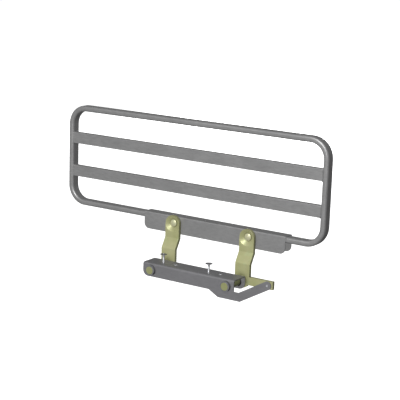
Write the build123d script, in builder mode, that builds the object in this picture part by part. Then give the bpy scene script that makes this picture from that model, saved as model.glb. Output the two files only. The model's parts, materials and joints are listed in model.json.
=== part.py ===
"""Drop-down side rail for a care bed, with its swing links and bed bracket.

Frame: origin on the bracket's web top face, at the middle of the bracket.
+X runs along the rail, +Y points outboard from the bed, +Z is up. Millimetres.
"""
import os
from math import cos
from math import radians
from math import sin
from math import tan

from build123d import *

os.makedirs("parts", exist_ok=True)

# Rail: one bent tube loop with two flat slats.
RAIL_X = -97.0
RAIL_Z = 294.0
RAIL_LENGTH = 1040.0
RAIL_HEIGHT = 358.0
RAIL_CORNER = 70.0
TUBE_FACE = 20.0
TUBE_DEPTH = 37.0
TUBE_EDGE = 8.0
TUBE_WALL = 1.5
RAIL_Y = 98.0
SLAT_HEIGHT = 40.0
SLAT_DEPTH = 18.0
SLAT_WALL = 1.5
SLAT_EDGE = 2.2
SLAT_Y = 101.5
UPPER_SLAT_Z = 355.0
LOWER_SLAT_Z = 236.5

# Saddle: inverted channel over the bottom tube of the rail.
SADDLE_X0 = -274.0
SADDLE_X1 = 285.0
SADDLE_BOTTOM = 78.0
SADDLE_SHEET = 3.0
SADDLE_CORNER = 19.0
SADDLE_TOP = RAIL_Z - RAIL_HEIGHT / 2 + TUBE_FACE + SADDLE_SHEET

# Swing links.
PIN_X = 148.0
LOWER_Z = -23.0
UPPER_Z = 115.0
LINK_WIDTH = 55.5
LINK_THICK = 12.0
LOWER_FACE_Y = 61.0
UPPER_FACE_Y = 81.0
JOGGLE_TOP = 65.8
JOGGLE_BOTTOM = 31.7
LOCK_ARM_REACH = 117.0
LOCK_ARM_HEIGHT = 27.5
LOCK_ARM_Z = -24.2

# Pivot studs on the saddle, seated in wide conical dishes of the links.
DISH_RIM_R = 29.0
DISH_FLOOR_R = 13.5
DISH_FLOOR_Y = 90.0
LINK_EYE_R = 9.0
STUD_R_RIGHT = 8.95
STUD_R_LEFT = 8.80
STUD_HEAD_R = 12.3
STUD_SIDE_H = 1.8
STUD_DOME_H = 4.0
SIDE_GAP = 0.3

# Bed bracket: inverted channel, its front flange running on into the latch arm.
BASE_X0 = -181.0
BASE_X1 = 177.0
BASE_DEPTH = 72.0
BASE_HEIGHT = 46.0
BASE_SHEET = 4.0
BASE_CORNER = 20.0
BASE_BEND = 7.0
ARM_HALF = 14.2
ARM_Z = -51.9
ARM_BEND_X = 198.0
ARM_RISE = 29.6
ARM_LENGTH = 116.0
STUD_HOLE_R = 3.5
JOURNAL_R = 4.5
JOURNAL_END = 12.0
STUD_PROUD = 0.5

# Shafts, their collared bushes and rings.
SHAFT_R = 13.5
SHAFT_GAP = 0.05
BUSH_R = 18.0
SPIGOT_R = 15.5
BUSH_RISE = 11.0
SHAFT_FRONT_Y = -BASE_DEPTH / 2 - BUSH_RISE - 0.3
RING_R = 16.5
RING_SEAT_R = 12.25
RING_THICK = 1.5

# Bracket fixings.
HOLE_Y = -4.0
SCREW_X = [-121.0, 60.0]
FREE_HOLE_X = [-71.0, 105.0]
WEB_HOLE_R = 4.5
SCREW_R = 4.0
SCREW_HEAD_R = 12.0
SCREW_NECK_R = 6.0
SCREW_NECK_Z = 23.4
SCREW_NECK_H = 4.0
SCREW_CONE_H = 1.2
SCREW_RIM_H = 1.2
SCREW_DOME_H = 1.5
SOCKET_R = 2.9
SOCKET_DEPTH = 3.2
SCREW_END = -14.0
NUT_FLATS = 13.0
NUT_HEIGHT = 6.5


def plane_y(y):
    """Sketch plane facing -Y at a given Y; its X is +X and its Y is +Z."""
    return Plane(origin=(0, y, 0), x_dir=(1, 0, 0), z_dir=(0, -1, 0))


def export(part, name):
    part.label = name
    export_step(part, "parts/" + name + ".step")


def rail_loop(grow, depth0, depth1, edge):
    """Tube loop whose walls are moved outwards by grow from the outer skin."""
    with BuildPart() as loop:
        with BuildSketch(plane_y(depth0)):
            with Locations((RAIL_X, RAIL_Z)):
                RectangleRounded(RAIL_LENGTH + 2 * grow, RAIL_HEIGHT + 2 * grow, RAIL_CORNER + grow)
                RectangleRounded(
                    RAIL_LENGTH - 2 * TUBE_FACE - 2 * grow,
                    RAIL_HEIGHT - 2 * TUBE_FACE - 2 * grow,
                    RAIL_CORNER - TUBE_FACE - grow,
                    mode=Mode.SUBTRACT,
                )
        extrude(amount=-(depth1 - depth0))
        rims = loop.faces().filter_by(Axis.Y).edges()
        fillet(rims, edge)
    return loop.part


outer = rail_loop(0.0, RAIL_Y, RAIL_Y + TUBE_DEPTH, TUBE_EDGE)
inner = rail_loop(-TUBE_WALL, RAIL_Y + TUBE_WALL, RAIL_Y + TUBE_DEPTH - TUBE_WALL, TUBE_EDGE - TUBE_WALL)
with BuildPart() as frame_tube:
    add(outer)
    add(inner, mode=Mode.SUBTRACT)
export(frame_tube.part, "frame_tube")


def make_slat(name, centre_z):
    half = RAIL_LENGTH / 2 - TUBE_FACE
    with BuildPart() as slat:
        with BuildSketch(Plane.YZ.offset(RAIL_X - half)):
            with Locations((SLAT_Y + SLAT_DEPTH / 2, centre_z)):
                RectangleRounded(SLAT_DEPTH, SLAT_HEIGHT, SLAT_EDGE)
                RectangleRounded(
                    SLAT_DEPTH - 2 * SLAT_WALL,
                    SLAT_HEIGHT - 2 * SLAT_WALL,
                    SLAT_EDGE - SLAT_WALL,
                    mode=Mode.SUBTRACT,
                )
        extrude(amount=2 * half)
    export(slat.part, name)


make_slat("upper_slat", UPPER_SLAT_Z)
make_slat("lower_slat", LOWER_SLAT_Z)

saddle_y0 = RAIL_Y - SADDLE_SHEET
saddle_y1 = RAIL_Y + TUBE_DEPTH + SADDLE_SHEET
saddle_mid_y = (saddle_y0 + saddle_y1) / 2
saddle_mid_x = (SADDLE_X0 + SADDLE_X1) / 2
saddle_mid_z = (SADDLE_TOP + SADDLE_BOTTOM) / 2
with BuildPart() as saddle_channel:
    Box(
        SADDLE_X1 - SADDLE_X0,
        saddle_y1 - saddle_y0,
        SADDLE_TOP - SADDLE_BOTTOM,
        align=(Align.CENTER, Align.CENTER, Align.CENTER),
    )
    fillet(saddle_channel.edges().filter_by(Axis.Y).group_by(Axis.Z)[0], SADDLE_CORNER)
    fillet(saddle_channel.edges().filter_by(Axis.X).group_by(Axis.Z)[-1], 4.0)
    with Locations((0, 0, -SADDLE_SHEET)):
        Box(
            SADDLE_X1 - SADDLE_X0,
            TUBE_DEPTH,
            SADDLE_TOP - SADDLE_BOTTOM,
            mode=Mode.SUBTRACT,
        )
    for side, radius in ((-1, STUD_R_LEFT), (1, STUD_R_RIGHT)):
        eye = plane_y(-TUBE_DEPTH / 2)
        with BuildSketch(eye):
            with Locations((side * PIN_X - saddle_mid_x, UPPER_Z - saddle_mid_z)):
                Circle(radius)
        extrude(amount=SADDLE_SHEET, mode=Mode.SUBTRACT)
saddle_solid = saddle_channel.part.moved(Location((saddle_mid_x, saddle_mid_y, saddle_mid_z)))
export(saddle_solid, "saddle_channel")


def make_stud(name, x, radius):
    """Stud with a domed head; its shank ends flush inside the saddle flange."""
    seat = DISH_FLOOR_Y - SIDE_GAP
    ball = (STUD_HEAD_R**2 + STUD_DOME_H**2) / (2 * STUD_DOME_H)
    crest = seat - STUD_SIDE_H - STUD_DOME_H
    with BuildPart() as stud:
        with BuildSketch(plane_y(seat)):
            with Locations((x, UPPER_Z)):
                Circle(STUD_HEAD_R)
        extrude(amount=seat - crest + 0.5)
        with Locations((x, crest + ball, UPPER_Z)):
            Sphere(ball, mode=Mode.INTERSECT)
        with BuildSketch(plane_y(RAIL_Y)):
            with Locations((x, UPPER_Z)):
                Circle(radius)
        extrude(amount=RAIL_Y - seat + 0.5)
    export(stud.part, name)


make_stud("pivot_stud_left", -PIN_X, STUD_R_LEFT)
make_stud("pivot_stud_right", PIN_X, STUD_R_RIGHT)


def make_pivot_washer(name, x, radius):
    link_back = UPPER_FACE_Y + LINK_THICK
    with BuildPart() as washer:
        with BuildSketch(plane_y(saddle_y0)):
            with Locations((x, UPPER_Z)):
                Circle(15.0)
                Circle(radius, mode=Mode.SUBTRACT)
        extrude(amount=saddle_y0 - link_back - SIDE_GAP)
    export(washer.part, name)


make_pivot_washer("pivot_washer_left", -PIN_X, STUD_R_LEFT)
make_pivot_washer("pivot_washer_right", PIN_X, STUD_R_RIGHT)


def make_link(name, x, with_arm):
    """Joggled flat link with round ends; the right one carries the lock arm."""
    lean = tan(radians(30.4) / 2) * LINK_THICK
    top = UPPER_Z + LINK_WIDTH
    bottom = LOWER_Z - LINK_WIDTH
    reach = LOCK_ARM_REACH if with_arm else LINK_WIDTH
    with BuildPart() as link:
        with BuildSketch(Plane.YZ.offset(x - LINK_WIDTH)):
            with BuildLine():
                Polyline(
                    (UPPER_FACE_Y, top),
                    (UPPER_FACE_Y, JOGGLE_TOP),
                    (LOWER_FACE_Y, JOGGLE_BOTTOM),
                    (LOWER_FACE_Y, bottom),
                    (LOWER_FACE_Y + LINK_THICK, bottom),
                    (LOWER_FACE_Y + LINK_THICK, JOGGLE_BOTTOM - lean),
                    (UPPER_FACE_Y + LINK_THICK, JOGGLE_TOP - lean),
                    (UPPER_FACE_Y + LINK_THICK, top),
                    close=True,
                )
            make_face()
        extrude(amount=LINK_WIDTH + reach)
        bends = link.edges().filter_by(Axis.X).filter_by_position(Axis.Z, 20.0, 70.0)
        fillet(bends, 6.0)
        with BuildSketch(plane_y(LOWER_FACE_Y + LINK_THICK + 40.0)):
            with Locations((x, (UPPER_Z + LOWER_Z) / 2)):
                SlotCenterToCenter(UPPER_Z - LOWER_Z, LINK_WIDTH, rotation=90)
            if with_arm:
                with Locations((x + reach / 2, LOCK_ARM_Z)):
                    Rectangle(reach, LOCK_ARM_HEIGHT)
        extrude(amount=60.0, mode=Mode.INTERSECT)
        with BuildSketch(plane_y(LOWER_FACE_Y - 1)):
            with Locations((x, LOWER_Z)):
                Circle(SHAFT_R)
        extrude(amount=-(LINK_THICK + 2), mode=Mode.SUBTRACT)
        for y, radius in ((DISH_FLOOR_Y, DISH_FLOOR_R), (UPPER_FACE_Y, DISH_RIM_R)):
            with BuildSketch(plane_y(y)):
                with Locations((x, UPPER_Z)):
                    Circle(radius)
        loft(mode=Mode.SUBTRACT)
        with BuildSketch(plane_y(DISH_FLOOR_Y - 1)):
            with Locations((x, UPPER_Z)):
                Circle(LINK_EYE_R)
        extrude(amount=-(LINK_THICK + 2), mode=Mode.SUBTRACT)
    export(link.part, name)


make_link("left_link", -PIN_X, False)
make_link("right_link", PIN_X, True)


def make_shaft(name, x):
    """Pivot shaft with two ring grooves just inside the bracket flanges."""
    back = LOWER_FACE_Y + LINK_THICK
    inside = BASE_DEPTH / 2 - BASE_SHEET - SIDE_GAP
    with BuildPart() as shaft:
        with BuildSketch(plane_y(back)):
            with Locations((x, LOWER_Z)):
                Circle(SHAFT_R)
        extrude(amount=back - SHAFT_FRONT_Y)
        chamfer(shaft.faces().sort_by(Axis.Y)[0].edges(), 0.8)
        for start in (-inside + RING_THICK, inside):
            with BuildSketch(plane_y(start)):
                with Locations((x, LOWER_Z)):
                    Circle(SHAFT_R)
                    Circle(RING_SEAT_R, mode=Mode.SUBTRACT)
            extrude(amount=RING_THICK, mode=Mode.SUBTRACT)
    export(shaft.part, name)


def make_rings(name, x):
    """Two open snap rings that hold the shaft between the flanges."""
    inside = BASE_DEPTH / 2 - BASE_SHEET - SIDE_GAP
    with BuildPart() as rings:
        for start in (-inside + RING_THICK, inside):
            with BuildSketch(plane_y(start)):
                with Locations((x, LOWER_Z)):
                    Circle(RING_R)
                    Circle(RING_SEAT_R, mode=Mode.SUBTRACT)
                with Locations((x, LOWER_Z - RING_R)):
                    Rectangle(9.0, 2 * RING_R, mode=Mode.SUBTRACT)
            extrude(amount=RING_THICK)
    export(rings.part, name)


def make_bush(name, x, outward):
    """Collared bush pressed into a bracket flange from outside."""
    face = outward * BASE_DEPTH / 2
    with BuildPart() as bush:
        with BuildSketch(plane_y(face)):
            with Locations((x, LOWER_Z)):
                Circle(BUSH_R)
        extrude(amount=-outward * BUSH_RISE)
        chamfer(bush.faces().sort_by(Axis.Y)[0 if outward < 0 else -1].edges(), 0.6)
        with BuildSketch(plane_y(face)):
            with Locations((x, LOWER_Z)):
                Circle(SPIGOT_R)
        extrude(amount=outward * BASE_SHEET)
        with BuildSketch(plane_y(face + outward * BUSH_RISE)):
            with Locations((x, LOWER_Z)):
                Circle(SHAFT_R + SHAFT_GAP)
        extrude(amount=outward * (BUSH_RISE + BASE_SHEET), mode=Mode.SUBTRACT)
    export(bush.part, name)


for end, x in (("left", -PIN_X), ("right", PIN_X)):
    make_shaft(end + "_shaft", x)
    make_rings("snap_rings_" + end, x)
    make_bush("front_bush_" + end, x, -1)
    make_bush("rear_bush_" + end, x, 1)

arm_run = radians(ARM_RISE)
miter = ARM_HALF * tan(arm_run / 2)
tab_x = ARM_BEND_X + ARM_LENGTH * cos(arm_run)
tab_z = ARM_Z + ARM_LENGTH * sin(arm_run)
side_x = ARM_HALF * sin(arm_run)
side_z = ARM_HALF * cos(arm_run)
front_y = -BASE_DEPTH / 2
with BuildPart() as base_channel:
    with BuildSketch(Plane.YZ.offset(BASE_X0)):
        with Locations((0, -BASE_HEIGHT / 2)):
            Rectangle(BASE_DEPTH, BASE_HEIGHT)
    extrude(amount=BASE_X1 - BASE_X0)
    fillet(base_channel.edges().filter_by(Axis.X).group_by(Axis.Z)[-1], BASE_BEND)
    fillet(base_channel.edges().filter_by(Axis.Y).group_by(Axis.Z)[0], BASE_CORNER)
    with BuildSketch(Plane.YZ.offset(BASE_X0)) as bay:
        with Locations((0, -BASE_HEIGHT / 2 - BASE_SHEET)):
            Rectangle(BASE_DEPTH - 2 * BASE_SHEET, BASE_HEIGHT)
        fillet(bay.vertices().group_by(Axis.Z)[-1], BASE_BEND - BASE_SHEET)
    extrude(amount=BASE_X1 - BASE_X0, mode=Mode.SUBTRACT)
    with BuildSketch(plane_y(front_y)):
        with BuildLine():
            Polyline(
                (82.0, -BASE_HEIGHT),
                (117.5, ARM_Z - ARM_HALF),
                (ARM_BEND_X + miter, ARM_Z - ARM_HALF),
                (tab_x + side_x, tab_z - side_z),
                (tab_x - side_x, tab_z + side_z),
                (ARM_BEND_X - miter, ARM_Z + ARM_HALF),
                (BASE_X1, ARM_Z + ARM_HALF),
                (BASE_X1, -20.0),
                (82.0, -20.0),
                close=True,
            )
        make_face()
        with Locations((tab_x, tab_z)):
            Circle(ARM_HALF)
    extrude(amount=-BASE_SHEET)
    with BuildSketch(plane_y(front_y)):
        with Locations((tab_x, tab_z)):
            Circle(STUD_HOLE_R)
    extrude(amount=-BASE_SHEET, mode=Mode.SUBTRACT)
    with BuildSketch(plane_y(-front_y)):
        with Locations((-PIN_X, LOWER_Z), (PIN_X, LOWER_Z)):
            Circle(SPIGOT_R)
    extrude(amount=BASE_DEPTH, mode=Mode.SUBTRACT)
    with BuildSketch(Plane.XY):
        with Locations([(x, HOLE_Y) for x in SCREW_X + FREE_HOLE_X]):
            Circle(WEB_HOLE_R)
    extrude(amount=-BASE_SHEET, mode=Mode.SUBTRACT)
export(base_channel.part, "base_channel")

with BuildPart() as latch_stud:
    with BuildSketch(plane_y(front_y + BASE_SHEET + SIDE_GAP)):
        with Locations((tab_x, tab_z)):
            Circle(STUD_HOLE_R)
    extrude(amount=BASE_SHEET + SIDE_GAP + STUD_PROUD)
    chamfer(latch_stud.faces().sort_by(Axis.Y)[0].edges(), 0.4)
    with BuildSketch(plane_y(front_y + BASE_SHEET + JOURNAL_END)):
        with Locations((tab_x, tab_z)):
            Circle(JOURNAL_R)
    extrude(amount=JOURNAL_END - SIDE_GAP)
    chamfer(latch_stud.faces().sort_by(Axis.Y)[-1].edges(), 0.5)
export(latch_stud.part, "latch_stud")


def make_screw(x):
    """Saucer-head socket screw, standing in the web with the bed frame left out."""
    flare = SCREW_NECK_Z + SCREW_NECK_H
    rim = flare + SCREW_CONE_H
    ball = (SCREW_HEAD_R**2 + SCREW_DOME_H**2) / (2 * SCREW_DOME_H)
    top = rim + SCREW_RIM_H + SCREW_DOME_H
    low = (Align.CENTER, Align.CENTER, Align.MIN)
    with BuildPart() as screw:
        with Locations((x, HOLE_Y, rim)):
            Cylinder(SCREW_HEAD_R, top - rim + 0.5, align=low)
        with Locations((x, HOLE_Y, top - ball)):
            Sphere(ball, mode=Mode.INTERSECT)
        with Locations((x, HOLE_Y, flare)):
            Cone(SCREW_NECK_R, SCREW_HEAD_R, SCREW_CONE_H, align=low)
        with Locations((x, HOLE_Y, SCREW_NECK_Z)):
            Cone(SCREW_R, SCREW_NECK_R, SCREW_NECK_H, align=low)
        with Locations((x, HOLE_Y, SCREW_END)):
            Cylinder(SCREW_R, SCREW_NECK_Z - SCREW_END, align=low)
        with BuildSketch(Plane.XY.offset(top)):
            with Locations((x, HOLE_Y)):
                RegularPolygon(SOCKET_R, 6)
        extrude(amount=-SOCKET_DEPTH, mode=Mode.SUBTRACT)
    return screw.part


with BuildPart() as fixing_screws:
    for x in SCREW_X:
        add(make_screw(x))
export(fixing_screws.part, "fixing_screws")

with BuildPart() as weld_nuts:
    with BuildSketch(Plane.XY.offset(-BASE_SHEET)):
        with Locations([(x, HOLE_Y) for x in SCREW_X]):
            RegularPolygon(NUT_FLATS / 2, 6, major_radius=False)
            Circle(SCREW_R, mode=Mode.SUBTRACT)
    extrude(amount=-NUT_HEIGHT)
export(weld_nuts.part, "weld_nuts")
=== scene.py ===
"""Looks of the drop-down care-bed side rail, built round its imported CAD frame. Metres, +Z up."""
import json
from math import cos
from math import pi
from math import radians
from math import sin

import bpy
from mathutils import Matrix
from mathutils import Vector


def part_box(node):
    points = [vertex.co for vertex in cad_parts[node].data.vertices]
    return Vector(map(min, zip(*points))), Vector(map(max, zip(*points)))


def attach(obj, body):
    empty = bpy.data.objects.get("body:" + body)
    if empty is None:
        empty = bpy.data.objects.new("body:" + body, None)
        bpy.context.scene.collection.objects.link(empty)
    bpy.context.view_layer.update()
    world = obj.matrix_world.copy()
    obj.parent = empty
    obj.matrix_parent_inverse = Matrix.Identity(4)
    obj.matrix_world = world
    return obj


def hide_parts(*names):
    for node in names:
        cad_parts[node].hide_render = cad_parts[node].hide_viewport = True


MM = 0.001

# Camera: where it aims, and how it stands to that point, in metres, degrees and mm of lens.
CAMERA_AIM = Vector((-0.0532, 0.1035, 0.2071))
CAMERA_AZIMUTH = 33.08
CAMERA_ELEVATION = 12.48
CAMERA_ROLL = 1.89
CAMERA_DISTANCE = 4.156
CAMERA_LENS = 111.5

# Studio: the floor, and where the main light and the two fills come from.
FLOOR_Z = -0.42
FLOOR_HALF = 60.0
KEY_DIRECTION = (0.22, -0.79, 0.58)
FRONT_DIRECTION = (-0.10, -0.98, -0.08)
BACK_DIRECTION = (-0.35, 0.93, 0.05)

# Rail: corner radii of the tube's and the slats' sections, and the sheet of the saddle channel.
TUBE_EDGE = 8.0 * MM
SLAT_EDGE = 2.2 * MM
SADDLE_SHEET = 3.0 * MM

# Links: plate thickness, which is also how far apart the two welds on each shaft are.
LINK_THICK = 12.0 * MM

# Weld beads: the step along them, and the radius and place of each kind.
BEAD_STEP = 0.5 * MM
SLAT_BEAD = 1.6 * MM
SLAT_BEAD_INWARD = 0.4 * MM
SADDLE_BEAD = 1.7 * MM
SADDLE_BEAD_DROP = 16.0 * MM
SHAFT_BEAD = 1.7 * MM
SHAFT_BEAD_GAP = 0.3 * MM

# Fixing screws: the crown's height, the head's parts down from it, the rolled thread and the socket.
SCREW_TOP = 31.3 * MM
SCREW_DOME = 1.5 * MM
SCREW_RIM = 1.2 * MM
SCREW_CONE = 1.2 * MM
SCREW_NECK = 4.0 * MM
SCREW_NECK_R = 6.1 * MM
SHANK_R = 3.95 * MM
THREAD_PITCH = 1.25 * MM
THREAD_DEPTH = 0.55 * MM
THREAD_START = 1.2 * MM
SOCKET_R = 2.9 * MM

# Places along X of the screws and the free holes, on one line along Y.
SCREW_X = {"left": -121.0 * MM, "right": 60.0 * MM}
HOLE_X = {"left": -71.0 * MM, "right": 105.0 * MM}
HOLE_Y = -4.0 * MM

# Beads round the screws' nuts, and bright zinc rings round the free holes that paint a highlight there:
# height, ring radius and thickness.
NUT_BEAD = (-4.2 * MM, 7.6 * MM, 0.9 * MM)
HOLE_HIGHLIGHT_RING = (-0.2 * MM, 5.2 * MM, 0.8 * MM)

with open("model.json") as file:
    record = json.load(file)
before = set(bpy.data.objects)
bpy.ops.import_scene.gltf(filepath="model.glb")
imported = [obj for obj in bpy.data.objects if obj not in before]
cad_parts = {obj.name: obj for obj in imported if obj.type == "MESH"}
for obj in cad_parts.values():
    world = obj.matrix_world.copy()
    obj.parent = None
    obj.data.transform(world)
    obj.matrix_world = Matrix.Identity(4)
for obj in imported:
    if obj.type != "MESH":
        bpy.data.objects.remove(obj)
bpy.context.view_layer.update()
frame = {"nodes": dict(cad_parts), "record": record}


class Finish:
    """A node material under construction. Its pattern lies in the row frame, in metres."""

    def __init__(self, name, **shader_values):
        self.material = bpy.data.materials.new(name)
        self.material.use_nodes = True
        self.tree = self.material.node_tree
        self.shader = self.tree.nodes["Principled BSDF"]
        for socket, value in shader_values.items():
            self.shader.inputs[socket.replace("_", " ")].default_value = value
        self.place = self.node("ShaderNodeTexCoord").outputs["Object"]

    def node(self, kind, inputs=None, **settings):
        made = self.tree.nodes.new(kind)
        for key, value in settings.items():
            setattr(made, key, value)
        for key, value in (inputs or {}).items():
            if isinstance(value, bpy.types.NodeSocket):
                self.tree.links.new(value, made.inputs[key])
            else:
                made.inputs[key].default_value = value
        return made

    def noise(self, size, detail=3.0, roughness=0.55, stretch=(1.0, 1.0, 1.0)):
        """Noise from 0 to 1 whose lumps are about size metres across."""
        place = self.node("ShaderNodeMapping", {"Vector": self.place, "Scale": stretch}).outputs[0]
        sockets = {"Vector": place, "Scale": 1.0 / size, "Detail": detail, "Roughness": roughness}
        return self.node("ShaderNodeTexNoise", sockets).outputs["Fac"]

    def span(self, value, low, high, to_low, to_high):
        """Maps low..high onto to_low..to_high, held at both ends."""
        sockets = {"Value": value, 1: low, 2: high, 3: to_low, 4: to_high}
        return self.node("ShaderNodeMapRange", sockets).outputs["Result"]

    def times(self, a, b):
        return self.node("ShaderNodeMath", {0: a, 1: b}, operation="MULTIPLY").outputs[0]

    def mix(self, share, a, b):
        sockets = {"Factor": share, 6: a, 7: b}
        return self.node("ShaderNodeMix", sockets, data_type="RGBA").outputs[2]

    def rounded(self, radius):
        """Normals as if every edge were rounded by radius."""
        return self.node("ShaderNodeBevel", {"Radius": radius}, samples=6).outputs[0]

    def edges(self, radius):
        """1 along the edges and 0 on the faces."""
        flat = self.node("ShaderNodeNewGeometry").outputs["Normal"]
        sockets = {0: self.rounded(radius), 1: flat}
        same = self.node("ShaderNodeVectorMath", sockets, operation="DOT_PRODUCT").outputs["Value"]
        return self.span(same, 0.86, 0.99, 1.0, 0.0)

    def corners(self, reach):
        """1 deep in corners and gaps narrower than reach, and 0 on open faces: the mask for painted shade.
        """
        sockets = {"Distance": reach}
        open_share = self.node("ShaderNodeAmbientOcclusion", sockets, samples=8).outputs["AO"]
        return self.span(open_share, 0.35, 0.92, 1.0, 0.0)

    def finish(self, colour, roughness, height, depth, edge_radius):
        bump = {"Height": height, "Distance": depth, "Strength": 0.6, "Normal": self.rounded(edge_radius)}
        self.tree.links.new(colour, self.shader.inputs["Base Color"])
        self.tree.links.new(roughness, self.shader.inputs["Roughness"])
        normal = self.node("ShaderNodeBump", bump).outputs["Normal"]
        self.tree.links.new(normal, self.shader.inputs["Normal"])
        return self.material


def powder_coat(name, dark, light, worn, flake, gloss):
    """Satin powder coat: metal flake, orange peel, fine speckle, faint streaks along X and rubbed edges."""
    coat = Finish(name, Metallic=flake, IOR=gloss)
    cloud = coat.span(coat.noise(0.11, 4.0), 0.3, 0.7, 0.0, 1.0)
    tone = coat.mix(cloud, dark, light)
    speck = coat.span(coat.noise(0.0009, 1.0), 0.62, 0.74, 0.0, 0.16)
    tone = coat.mix(speck, tone, worn)
    sweep = coat.noise(0.0045, 3.0, 0.6, stretch=(0.25, 1.0, 1.0))
    shadow = (0.72 * dark[0], 0.72 * dark[1], 0.72 * dark[2], 1.0)
    tone = coat.mix(coat.span(sweep, 0.42, 0.70, 0.0, 0.45), tone, shadow)
    patchy = coat.span(coat.noise(0.012, 5.0, 0.7), 0.46, 0.66, 0.0, 0.75)
    tone = coat.mix(coat.times(coat.edges(0.6 * MM), patchy), tone, worn)
    roughness = coat.span(coat.noise(0.035, 6.0, 0.7), 0.3, 0.7, 0.42, 0.54)
    return coat.finish(tone, roughness, coat.noise(0.0021, 2.0), 0.00016, 0.8 * MM)


def chromate(name, deep, pale, metallic, painted_shade_reach):
    """Chromated zinc: olive gold that drifts in hue, with fine drawn lines, paler edges and painted shade in
    corners.
    """
    plate = Finish(name, Metallic=metallic)
    drift = plate.span(plate.noise(0.045, 3.0), 0.3, 0.7, 0.0, 1.0)
    tone = plate.mix(drift, deep, pale)
    flush = plate.span(plate.noise(0.022, 2.0, stretch=(1.0, 1.0, 0.6)), 0.56, 0.72, 0.0, 0.35)
    tone = plate.mix(flush, tone, (0.9 * pale[0], 1.1 * pale[1], 1.1 * pale[2], 1.0))
    grain = plate.noise(0.0012, 3.0, 0.6, stretch=(1.0, 1.0, 0.12))
    tone = plate.mix(plate.span(grain, 0.3, 0.7, 0.0, 0.12), tone, (0.30, 0.28, 0.15, 1.0))
    tone = plate.mix(plate.times(plate.edges(0.8 * MM), 0.5), tone, (0.62, 0.60, 0.42, 1.0))
    # Painted shade: corners and recesses narrower than the reach darken towards near-black olive.
    tone = plate.mix(plate.corners(painted_shade_reach), tone, (0.070, 0.072, 0.028, 1.0))
    blot = plate.noise(0.018, 5.0, 0.65)
    return plate.finish(tone, plate.span(blot, 0.3, 0.7, 0.36, 0.54), grain, 0.00006, 0.7 * MM)


def bright_plate(name, level):
    """Zinc plate of a given brightness: blue-white metal with crystal mottling and dulled patches."""
    plate = Finish(name, Metallic=0.80)
    cells = plate.node("ShaderNodeTexVoronoi", {"Vector": plate.place, "Scale": 420.0}).outputs["Color"]
    shade = plate.span(cells, 0.0, 1.0, 0.0, 0.3)
    tone = plate.mix(shade, (0.80, 0.81, 0.84, 1.0), (0.62, 0.65, 0.70, 1.0))
    dull = plate.span(plate.noise(0.006, 4.0), 0.5, 0.75, 0.0, 0.5)
    tone = plate.mix(dull, tone, (0.52, 0.52, 0.53, 1.0))
    # A level below 1 darkens the whole plate towards black: painted shade.
    tone = plate.mix(1.0 - level, tone, (0.02, 0.02, 0.02, 1.0))
    roughness = plate.span(plate.noise(0.004, 4.0), 0.3, 0.7, 0.30, 0.48)
    return plate.finish(tone, roughness, plate.noise(0.0008, 2.0), 0.00003, 0.4 * MM)


def black_steel(name):
    """Oiled spring steel: near-black with brown bloom and bright rubbed edges."""
    steel = Finish(name, Metallic=0.8)
    bloom = steel.span(steel.noise(0.008, 4.0), 0.4, 0.7, 0.0, 0.6)
    tone = steel.mix(bloom, (0.05, 0.05, 0.055, 1.0), (0.10, 0.075, 0.055, 1.0))
    tone = steel.mix(steel.times(steel.edges(0.3 * MM), 0.7), tone, (0.35, 0.34, 0.33, 1.0))
    roughness = steel.span(steel.noise(0.003, 3.0), 0.3, 0.7, 0.3, 0.5)
    return steel.finish(tone, roughness, steel.noise(0.0007, 2.0), 0.00003, 0.2 * MM)


def nylon(name):
    """Moulded dark grey nylon: fine matt texture, faint flow marks and scuffed rims."""
    plastic = Finish(name, Metallic=0.0, IOR=1.53)
    flow = plastic.noise(0.009, 3.0, 0.5, stretch=(1.0, 0.35, 1.0))
    tone = plastic.mix(flow, (0.085, 0.085, 0.092, 1.0), (0.14, 0.14, 0.15, 1.0))
    scuff = plastic.times(plastic.edges(0.5 * MM), plastic.span(plastic.noise(0.004), 0.4, 0.7, 0.1, 0.9))
    tone = plastic.mix(scuff, tone, (0.30, 0.30, 0.31, 1.0))
    roughness = plastic.span(plastic.noise(0.005, 3.0), 0.3, 0.7, 0.5, 0.66)
    return plastic.finish(tone, roughness, plastic.noise(0.0006, 2.0), 0.00008, 0.4 * MM)


FINISHES = {
    "rail_paint": powder_coat(
        "rail_coat",
        dark=(0.302, 0.302, 0.303, 1.0),
        light=(0.352, 0.352, 0.353, 1.0),
        worn=(0.41, 0.41, 0.41, 1.0),
        flake=0.60,
        gloss=1.7,
    ),
    "bracket_paint": powder_coat(
        "bracket_coat",
        dark=(0.105, 0.104, 0.110, 1.0),
        light=(0.126, 0.125, 0.132, 1.0),
        worn=(0.27, 0.27, 0.28, 1.0),
        flake=0.0,
        gloss=2.2,
    ),
    "yellow_zinc": chromate(
        "yellow_chromate",
        deep=(0.345, 0.355, 0.170, 1.0),
        pale=(0.405, 0.400, 0.222, 1.0),
        metallic=0.35,
        painted_shade_reach=24.0 * MM,
    ),
    "olive_zinc": chromate(
        "olive_chromate",
        deep=(0.235, 0.250, 0.110, 1.0),
        pale=(0.280, 0.290, 0.148, 1.0),
        metallic=0.30,
        painted_shade_reach=10.0 * MM,
    ),
    # Paler, more metallic copy of the yellow chromate for the studs: the paler colour is a painted
    # highlight.
    "painted_highlight_zinc": chromate(
        "painted_highlight_chromate",
        deep=(0.500, 0.500, 0.310, 1.0),
        pale=(0.600, 0.590, 0.400, 1.0),
        metallic=0.50,
        painted_shade_reach=2.0 * MM,
    ),
    "bright_zinc": bright_plate("bright_zinc_plate", 1.0),
    # Darkened copy of the bright zinc for the screw heads: painted shade.
    "painted_shade_zinc": bright_plate("painted_shade_zinc_plate", 0.35),
    "spring_steel": black_steel("oiled_spring_steel"),
    "bush_plastic": nylon("moulded_nylon"),
}

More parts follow.
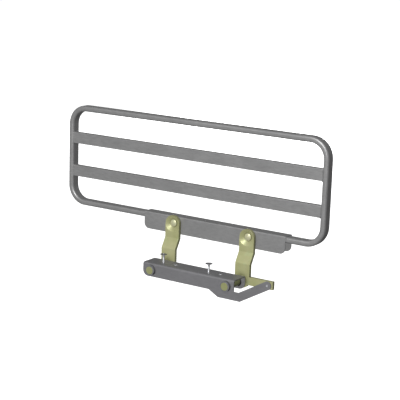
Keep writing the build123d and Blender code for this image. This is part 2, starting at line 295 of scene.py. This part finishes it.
# Each CAD node takes its slot's finish, but the studs take a paler, more metallic copy of the chromate,
# whose paler colour is a painted highlight.
for entry in frame["record"]["subparts"]:
    is_stud = entry["node"].startswith("pivot_stud")
    finish = FINISHES["painted_highlight_zinc" if is_stud else entry["material_slot"]]
    node = frame["nodes"][entry["node"]]
    node.data.materials.clear()
    node.data.materials.append(finish)


def new_piece(name, points, faces, body, slot):
    """Makes one smooth-shaded piece that rides on a body and takes a slot's finish."""
    mesh = bpy.data.meshes.new(name)
    mesh.from_pydata(points, [], faces)
    mesh.validate()
    mesh.polygons.foreach_set("use_smooth", [True] * len(mesh.polygons))
    piece = bpy.data.objects.new(name, mesh)
    bpy.context.scene.collection.objects.link(piece)
    mesh.materials.append(FINISHES[slot])
    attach(piece, body)
    return piece


def resample(corners, step, closed):
    """Evenly spaced points along a line of corners."""
    ends = corners + corners[:1] if closed else corners
    lengths = [(b - a).length for a, b in zip(ends, ends[1:])]
    count = max(8, round(sum(lengths) / step))
    spots = []
    for i in range(count if closed else count + 1):
        along = sum(lengths) * i / count
        leg = 0
        while leg < len(lengths) - 1 and along > lengths[leg]:
            along -= lengths[leg]
            leg += 1
        spots.append(ends[leg].lerp(ends[leg + 1], along / lengths[leg]))
    return spots


def weld_bead(name, corners, closed, radius, body, slot):
    """A weld bead along corners: a fat line with a ripple for each drop of metal."""
    spots = resample(corners, BEAD_STEP, closed)
    sides = 10
    points = []
    last = len(spots) - 1
    for i, spot in enumerate(spots):
        before = spots[i - 1] if closed or i else spots[0]
        after = spots[(i + 1) % len(spots)] if closed or i < last else spots[last]
        along = (after - before).normalized()
        side = along.orthogonal().normalized()
        over = along.cross(side)
        taper = 1.0 if closed else min(1.0, (0.25 + min(i, last - i) / 4.0))
        drop = abs(sin(i * pi / 4.0 + 0.3 * sin(i * 0.37)))
        size = radius * taper * (0.84 + 0.16 * drop)
        for k in range(sides):
            turn = 2 * pi * k / sides
            points.append(spot + size * (cos(turn) * side + sin(turn) * over))
    faces = []
    for i in range(len(spots) if closed else last):
        near, far = i * sides, (i + 1) % len(spots) * sides
        shift = min(range(sides), key=lambda s: (points[far + s] - points[near]).length)
        for k in range(sides):
            a, b = near + k, near + (k + 1) % sides
            c, d = far + (k + 1 + shift) % sides, far + (k + shift) % sides
            faces.append((a, b, c, d))
    if not closed:
        faces.append(tuple(range(sides - 1, -1, -1)))
        faces.append(tuple(range(last * sides, last * sides + sides)))
    return new_piece(name, points, faces, body, slot)


def arc(centre, radius, start, end, steps, to_point):
    """Corners of an arc, turned into row-frame points by to_point(u, v)."""
    turns = [radians(start + (end - start) * i / steps) for i in range(steps + 1)]
    return [to_point(centre[0] + radius * cos(t), centre[1] + radius * sin(t)) for t in turns]


def ring(centre, radius, to_point):
    """Corners of a whole circle, six degrees apart, for a closed bead."""
    return arc(centre, radius, 0, 354, 59, to_point)


def slat_welds(node):
    """A bead round each end of a slat, where it meets the frame tube."""
    low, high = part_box(node)
    for end, x in (("left", low.x + SLAT_BEAD_INWARD), ("right", high.x - SLAT_BEAD_INWARD)):
        corners = []
        for y, z, start in (
            (high.y - SLAT_EDGE, high.z - SLAT_EDGE, 0),
            (low.y + SLAT_EDGE, high.z - SLAT_EDGE, 90),
            (low.y + SLAT_EDGE, low.z + SLAT_EDGE, 180),
            (high.y - SLAT_EDGE, low.z + SLAT_EDGE, 270),
        ):
            corners += arc((y, z), SLAT_EDGE, start, start + 90, 5, lambda u, v, x=x: Vector((x, u, v)))
        weld_bead(f"{node}_weld_{end}", corners, True, SLAT_BEAD, "rail", "rail_paint")


def saddle_welds():
    """A bead over the bottom tube at each end of the saddle channel."""
    tube_low, tube_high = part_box("frame_tube")
    saddle_low, saddle_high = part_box("saddle_channel")
    top = saddle_high.z - SADDLE_SHEET
    near = (tube_low.y + TUBE_EDGE, top - TUBE_EDGE)
    far = (tube_high.y - TUBE_EDGE, top - TUBE_EDGE)
    for end, x in (("left", saddle_low.x), ("right", saddle_high.x)):
        path = [Vector((x, tube_low.y, top - SADDLE_BEAD_DROP))]
        path += arc(near, TUBE_EDGE, 180, 90, 5, lambda u, v, x=x: Vector((x, u, v)))
        path += arc(far, TUBE_EDGE, 90, 0, 5, lambda u, v, x=x: Vector((x, u, v)))
        path.append(Vector((x, tube_high.y, top - SADDLE_BEAD_DROP)))
        weld_bead(f"saddle_weld_{end}", path, False, SADDLE_BEAD, "rail", "rail_paint")


def shaft_welds(end):
    """A bead round a shaft on each face of its link."""
    low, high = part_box(f"{end}_shaft")
    centre = ((low.x + high.x) / 2, (low.z + high.z) / 2)
    radius = (high.x - low.x) / 2 + SHAFT_BEAD_GAP
    for place, y in (("front", high.y - LINK_THICK), ("back", high.y)):
        circle = ring(centre, radius, lambda u, v, y=y: Vector((u, y, v)))
        weld_bead(f"{end}_shaft_weld_{place}", circle, True, SHAFT_BEAD, f"{end}_arm", "yellow_zinc")


for slat in ("upper_slat", "lower_slat"):
    slat_welds(slat)
saddle_welds()
for side in ("left", "right"):
    shaft_welds(side)


def threaded_screw(name, x, y, body, slot):
    """A saucer-head screw with a hexagon socket and a rolled thread, round an upright axis.

    It is built as rings of points from the tip up, each with a height, a radius and a share of
    the thread's depth. The rim and crown of the head take a darkened copy of the zinc, which is painted
    shade.
    """
    screw_low, screw_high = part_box("fixing_screws")
    sides = 48
    tip = screw_low.z
    head = (screw_high.y - screw_low.y) / 2
    ball = (head * head + SCREW_DOME * SCREW_DOME) / (2 * SCREW_DOME)
    rim_top = SCREW_TOP - SCREW_DOME
    rim_low = rim_top - SCREW_RIM
    flare = rim_low - SCREW_CONE
    threaded = flare - SCREW_NECK - tip - THREAD_START
    rows = [(tip, 0.55 * SHANK_R, 0.0), (tip + THREAD_START / 2, 0.8 * SHANK_R, 0.0)]
    steps = round(threaded / (THREAD_PITCH / 4))
    for i in range(steps + 1):
        share = i / steps
        z = tip + THREAD_START + share * threaded
        rows.append((z, SHANK_R, min(1.0, 8 * share, 8 * (1 - share))))
    rows += [(flare - 0.2 * MM, SCREW_NECK_R - 0.2 * MM, 0.0), (flare, SCREW_NECK_R, 0.0)]
    rows += [(rim_low, head - 0.3 * MM, 0.0), (rim_low + 0.15 * MM, head - 0.05 * MM, 0.0)]
    rows += [(rim_top - 0.1 * MM, head, 0.0)]
    for share in (0.98, 0.9, 0.75, 0.6, 0.45, 0.32):
        radius = head * share
        rows.append((SCREW_TOP - ball + (ball * ball - radius * radius) ** 0.5, radius, 0.0))
    points = []
    for z, radius, thread in rows:
        for k in range(sides):
            turn = 2 * pi * k / sides
            phase = (z / THREAD_PITCH - k / sides) % 1.0
            size = radius - thread * THREAD_DEPTH * abs(2 * phase - 1)
            points.append((x + size * cos(turn), y + size * sin(turn), z))
    for below, grow in ((0.08 * MM, 1.06), (0.45 * MM, 1.0), (3.1 * MM, 1.0)):
        for k in range(sides):
            turn = 2 * pi * k / sides
            flat = cos(pi / 6) / cos((turn + pi / 6) % (pi / 3) - pi / 6)
            size = SOCKET_R * flat * grow
            points.append((x + size * cos(turn), y + size * sin(turn), SCREW_TOP - below))
    count = len(points) // sides
    faces = []
    for i in range(count - 1):
        for k in range(sides):
            a, b = i * sides + k, i * sides + (k + 1) % sides
            faces.append((a, b, b + sides, a + sides))
    faces.append(tuple(range(sides - 1, -1, -1)))
    faces.append(tuple(range((count - 1) * sides, count * sides)))
    screw = new_piece(name, points, faces, body, slot)
    # The head's rim and crown take the darkened zinc: painted shade.
    screw.data.materials.append(FINISHES["painted_shade_zinc"])
    for face in screw.data.polygons:
        face.material_index = int(face.center.z > rim_low)
    return screw


def upright_bead(name, x, shape, slot):
    """A level bead round an upright axis on the bracket's line of holes."""
    z, radius, thick = shape
    circle = ring((x, HOLE_Y), radius, lambda u, v: Vector((u, v, z)))
    weld_bead(name, circle, True, thick, "base", slot)


for side in ("left", "right"):
    fitted = threaded_screw(f"fixing_screw_{side}", SCREW_X[side], HOLE_Y, "base", "bright_zinc")
    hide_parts("fixing_screws")
    upright_bead(f"nut_bead_{side}", SCREW_X[side], NUT_BEAD, "bracket_paint")
    # Painted highlight: a bright zinc ring round each free hole.
    upright_bead(f"hole_highlight_ring_{side}", HOLE_X[side], HOLE_HIGHLIGHT_RING, "bright_zinc")


def seen_or_not(tree, seen, otherwise):
    """A studio brightness: one value where the picture shows it, another for the light it casts."""
    path = tree.nodes.new("ShaderNodeLightPath")
    level = tree.nodes.new("ShaderNodeMapRange")
    level.inputs[3].default_value = otherwise
    level.inputs[4].default_value = seen
    tree.links.new(path.outputs["Is Camera Ray"], level.inputs["Value"])
    return level.outputs["Result"]


# Studio: pale floor, soft light from the front and above, camera.
floor_mesh = bpy.data.meshes.new("floor")
floor_mesh.from_pydata(
    [(x * FLOOR_HALF, y * FLOOR_HALF, FLOOR_Z) for x, y in ((-1, -1), (1, -1), (1, 1), (-1, 1))],
    [],
    [(0, 1, 2, 3)],
)
floor = bpy.data.objects.new("floor", floor_mesh)
bpy.context.scene.collection.objects.link(floor)
floor.visible_glossy = False
floor.visible_diffuse = False
pale = Finish("pale_floor", Metallic=0.0, Roughness=0.9)
pale.shader.inputs["Base Color"].default_value = (0.75, 0.75, 0.75, 1.0)
pale.shader.inputs["Specular IOR Level"].default_value = 0.1
pale.shader.inputs["Emission Color"].default_value = (1.0, 1.0, 1.0, 1.0)
glow = seen_or_not(pale.tree, seen=0.9, otherwise=0.0)
pale.tree.links.new(glow, pale.shader.inputs["Emission Strength"])
floor_mesh.materials.append(pale.material)


def soft_light(name, direction, distance, width, power, shadows):
    """A square soft box that faces the middle of the object from a direction."""
    light = bpy.data.lights.new(name, "AREA")
    light.use_shadow = shadows
    light.shape = "SQUARE"
    light.size = width
    light.energy = power
    lamp = bpy.data.objects.new(name, light)
    bpy.context.scene.collection.objects.link(lamp)
    towards = Vector(direction).normalized()
    lamp.location = CAMERA_AIM + distance * towards
    lamp.rotation_euler = towards.to_track_quat("Z", "Y").to_euler()
    return lamp


# Most of the main light casts no shadow, and the fills don't mirror in the object.
soft_light("key", KEY_DIRECTION, distance=5.0, width=1.6, power=40.0, shadows=True)
soft_light("even_key", KEY_DIRECTION, distance=5.0, width=1.6, power=195.0, shadows=False)
front_fill = soft_light("front_fill", FRONT_DIRECTION, distance=5.0, width=2.0, power=155.0, shadows=False)
front_fill.visible_glossy = False
back_fill = soft_light("back_fill", BACK_DIRECTION, distance=6.0, width=3.0, power=260.0, shadows=True)
back_fill.visible_glossy = False

world = bpy.data.worlds.new("studio")
bpy.context.scene.world = world
world.use_nodes = True
backdrop = world.node_tree.nodes["Background"]
backdrop.inputs["Color"].default_value = (1.0, 1.0, 1.0, 1.0)
strength = seen_or_not(world.node_tree, seen=1.0, otherwise=0.16)
world.node_tree.links.new(strength, backdrop.inputs["Strength"])

azimuth = radians(CAMERA_AZIMUTH)
elevation = radians(CAMERA_ELEVATION)
back = Vector((sin(azimuth) * cos(elevation), -cos(azimuth) * cos(elevation), sin(elevation)))
level_right = Vector((cos(azimuth), sin(azimuth), 0.0))
upright = back.cross(level_right)
roll = Matrix.Rotation(radians(CAMERA_ROLL), 4, back)
axes = Matrix((level_right, upright, back)).transposed().to_4x4()
camera = bpy.data.objects.new("camera", bpy.data.cameras.new("camera"))
bpy.context.scene.collection.objects.link(camera)
camera.data.lens = CAMERA_LENS
camera.data.sensor_width = 36.0
camera.data.clip_end = 200.0
camera.matrix_world = Matrix.Translation(CAMERA_AIM + CAMERA_DISTANCE * back) @ roll @ axes
bpy.context.scene.camera = camera
bpy.context.scene.view_settings.view_transform = "Standard"
